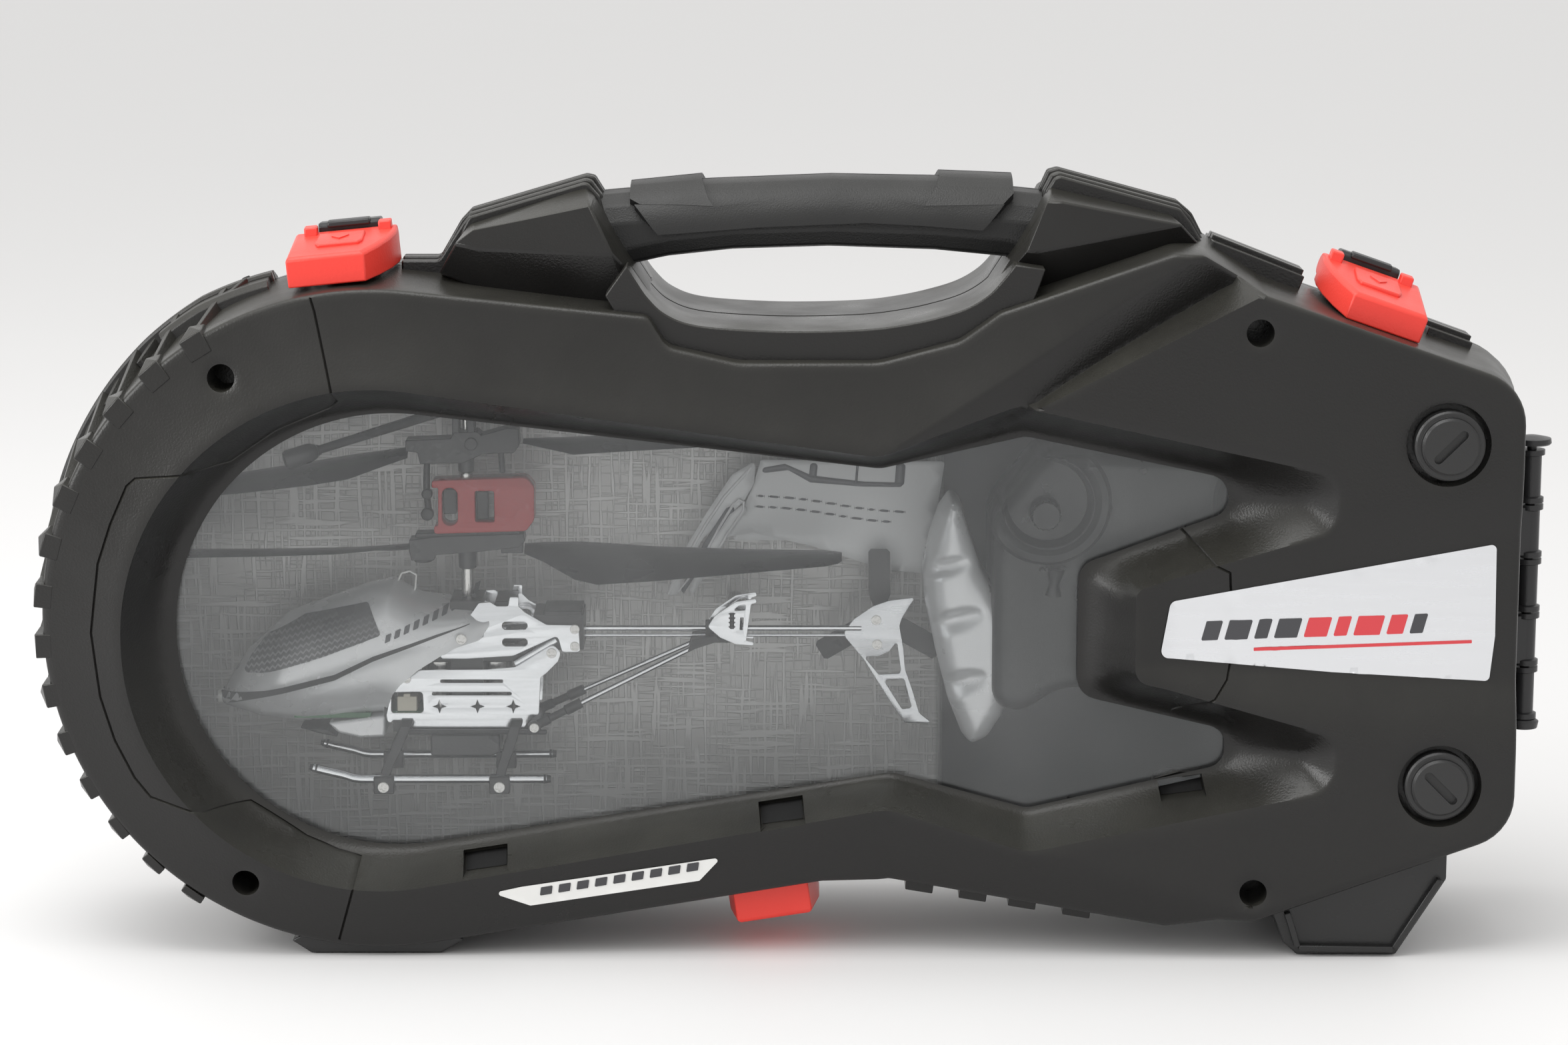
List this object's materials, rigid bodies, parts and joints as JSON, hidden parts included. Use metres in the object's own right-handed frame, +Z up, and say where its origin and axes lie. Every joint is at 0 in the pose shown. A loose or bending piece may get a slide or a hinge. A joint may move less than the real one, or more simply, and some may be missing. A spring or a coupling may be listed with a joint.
{
  "type": "toy helicopter set in carry case",
  "caption": "Moulded carry case with window, three latches and arched handle, holding a coaxial toy helicopter, its handset and a leaflet.",
  "frame": {"origin": "centre of the bounding box's base, on the surface the case stands on", "axes": "+X along the case towards the lid hinge, +Y from the lid towards the back, +Z up"},
  "size_m": [0.466, 0.093, 0.2395],
  "materials": {
    "case_plastic": "satin moulded, fine texture",
    "grip_plastic": "rough texture",
    "latch_red": "semi-gloss",
    "pane": "clear vacuum-formed plastic",
    "silver_label": "brushed foil",
    "white_label": "printed film",
    "steel": "drawn",
    "blackened": "satin",
    "insert_grey": "woven emboss",
    "paper": "uncoated paper",
    "silver_plastic": "metallic paint",
    "panel_black": "patterned film",
    "lamp": "clear lens",
    "board": "solder mask",
    "cell": "foil wrap",
    "alu_frame": "polished",
    "brass_pinion": "machined",
    "blade_plastic": "satin",
    "cage_red": "anodised look",
    "handset_black": "satin"
  },
  "bodies": {
    "case_rear": {"rear_shell": "case_plastic", "rear_grip_cover": "grip_plastic", "rear_feet": "grip_plastic", "hinge_pin": "blackened", "latch_brackets": "blackened", "latch_pins": "steel", "tray_insert": "insert_grey", "leaflet": "paper", "canopy": "silver_plastic", "canopy_panels": "panel_black", "chin_light": "lamp", "circuit_board": "board", "heli_switch": "blackened", "battery": "cell", "upper_frames": "alu_frame", "lower_frames": "alu_frame", "frame_spacers": "blackened", "frame_screws": "blackened", "mast_bearings": "blackened", "main_motors": "steel", "tail_booms": "alu_frame", "boom_struts": "alu_frame", "boom_bracket": "blackened", "tail_fin": "silver_plastic", "tail_motor": "steel", "skid_legs": "blackened", "skid_tubes": "alu_frame", "handset_body": "handset_black", "handset_back": "handset_black", "handset_grips": "silver_plastic"},
    "lid": {"front_shell": "case_plastic", "front_grip_cover": "grip_plastic", "front_feet": "grip_plastic", "window_pane": "pane", "side_label": "silver_label", "flag_sticker": "white_label", "case_screws": "steel"},
    "left_latch": {"latch_left": "latch_red"},
    "right_latch": {"latch_right": "latch_red"},
    "bottom_latch": {"latch_bottom": "latch_red"},
    "upper_lock": {"lock_upper": "blackened"},
    "lower_lock": {"lock_lower": "blackened"},
    "lower_rotor": {"outer_shaft": "steel", "lower_gear": "blackened", "lower_hub": "blackened", "lower_blades": "blade_plastic", "rotor_cage": "cage_red"},
    "upper_rotor": {"inner_shaft": "steel", "upper_gear": "blackened", "upper_hub": "blackened", "upper_blades": "blade_plastic"},
    "balance_bar": {"flybar": "steel", "flybar_weights": "blackened"},
    "front_motor_pinion": {"front_pinion": "brass_pinion"},
    "rear_motor_pinion": {"rear_pinion": "brass_pinion"},
    "tail_prop": {"tail_rotor": "blade_plastic"},
    "throttle_stick": {"left_stick": "handset_black"},
    "direction_gimbal": {"right_gimbal": "handset_black"},
    "direction_stick": {"right_stick": "handset_black"},
    "power_slider": {"handset_switch": "handset_black"}
  },
  "joints": [
    {"name": "lid_hinge", "type": "hinge", "parent": "case_rear", "child": "lid", "pos_m": [0.2275, 0, 0.1095], "axis": [0, 0, 1], "range_deg": [0, 175]},
    {"name": "left_latch_hinge", "type": "hinge", "parent": "case_rear", "child": "left_latch", "pos_m": [-0.13728, 0.008, 0.21596], "axis": [-0.9952, 0, -0.0976], "range_deg": [0, 95]},
    {"name": "right_latch_hinge", "type": "hinge", "parent": "case_rear", "child": "right_latch", "pos_m": [0.17439, 0.008, 0.20409], "axis": [-0.9432, 0, 0.3322], "range_deg": [0, 95]},
    {"name": "bottom_latch_hinge", "type": "hinge", "parent": "case_rear", "child": "bottom_latch", "pos_m": [-0.00762, 0.008, 0.01371], "axis": [0.9882, 0, 0.153], "range_deg": [0, 95]},
    {"name": "upper_lock_turn", "type": "hinge", "parent": "lid", "child": "upper_lock", "pos_m": [0.195, -0.04, 0.16], "axis": [0, 1, 0], "range_deg": [0, 90]},
    {"name": "lower_lock_turn", "type": "hinge", "parent": "lid", "child": "lower_lock", "pos_m": [0.195, -0.04, 0.055], "axis": [0, 1, 0], "range_deg": [0, 90]},
    {"name": "lower_rotor_spin", "type": "hinge", "parent": "case_rear", "child": "lower_rotor", "pos_m": [-0.1035, 0.008, 0.118], "axis": [0, 0, 1], "range_deg": [-8, 4]},
    {"name": "upper_rotor_spin", "type": "hinge", "parent": "case_rear", "child": "upper_rotor", "pos_m": [-0.1035, 0.008, 0.148], "axis": [0, 0, 1], "range_deg": [-8, 8]},
    {"name": "flybar_teeter", "type": "hinge", "parent": "upper_rotor", "child": "balance_bar", "pos_m": [-0.1035, 0.008, 0.1645], "axis": [-0.309, 0.9511, 0], "range_deg": [0, 29]},
    {"name": "front_pinion_spin", "type": "hinge", "parent": "case_rear", "child": "front_motor_pinion", "pos_m": [-0.11245, 0.008, 0.09], "axis": [0, 0, 1], "range_deg": [-66, 66]},
    {"name": "rear_pinion_spin", "type": "hinge", "parent": "case_rear", "child": "rear_motor_pinion", "pos_m": [-0.09455, 0.008, 0.096], "axis": [0, 0, 1], "range_deg": [-66, 66]},
    {"name": "tail_rotor_spin", "type": "hinge", "parent": "case_rear", "child": "tail_prop", "pos_m": [0.026, 0.0182, 0.0943], "axis": [0, 1, 0], "continuous": true},
    {"name": "throttle_tilt", "type": "hinge", "parent": "case_rear", "child": "throttle_stick", "pos_m": [0.076, -0.01, 0.134], "axis": [1, 0, 0], "range_deg": [-22, 22]},
    {"name": "direction_updown", "type": "hinge", "parent": "case_rear", "child": "direction_gimbal", "pos_m": [0.148, -0.01, 0.134], "axis": [1, 0, 0], "range_deg": [-18, 18], "stiffness_Nm_per_rad": 0.02},
    {"name": "direction_leftright", "type": "hinge", "parent": "direction_gimbal", "child": "direction_stick", "pos_m": [0.148, -0.01, 0.134], "axis": [0, 0, 1], "range_deg": [-18, 18], "stiffness_Nm_per_rad": 0.02},
    {"name": "power_slide", "type": "slide", "parent": "case_rear", "child": "power_slider", "axis": [0, 0, 1], "range_m": [0, 0.003]}
  ],
  "couplings": [
    {"joint": "front_pinion_spin", "follows": "upper_rotor_spin", "ratio": -7.5},
    {"joint": "rear_pinion_spin", "follows": "lower_rotor_spin", "ratio": -7.5}
  ]
}
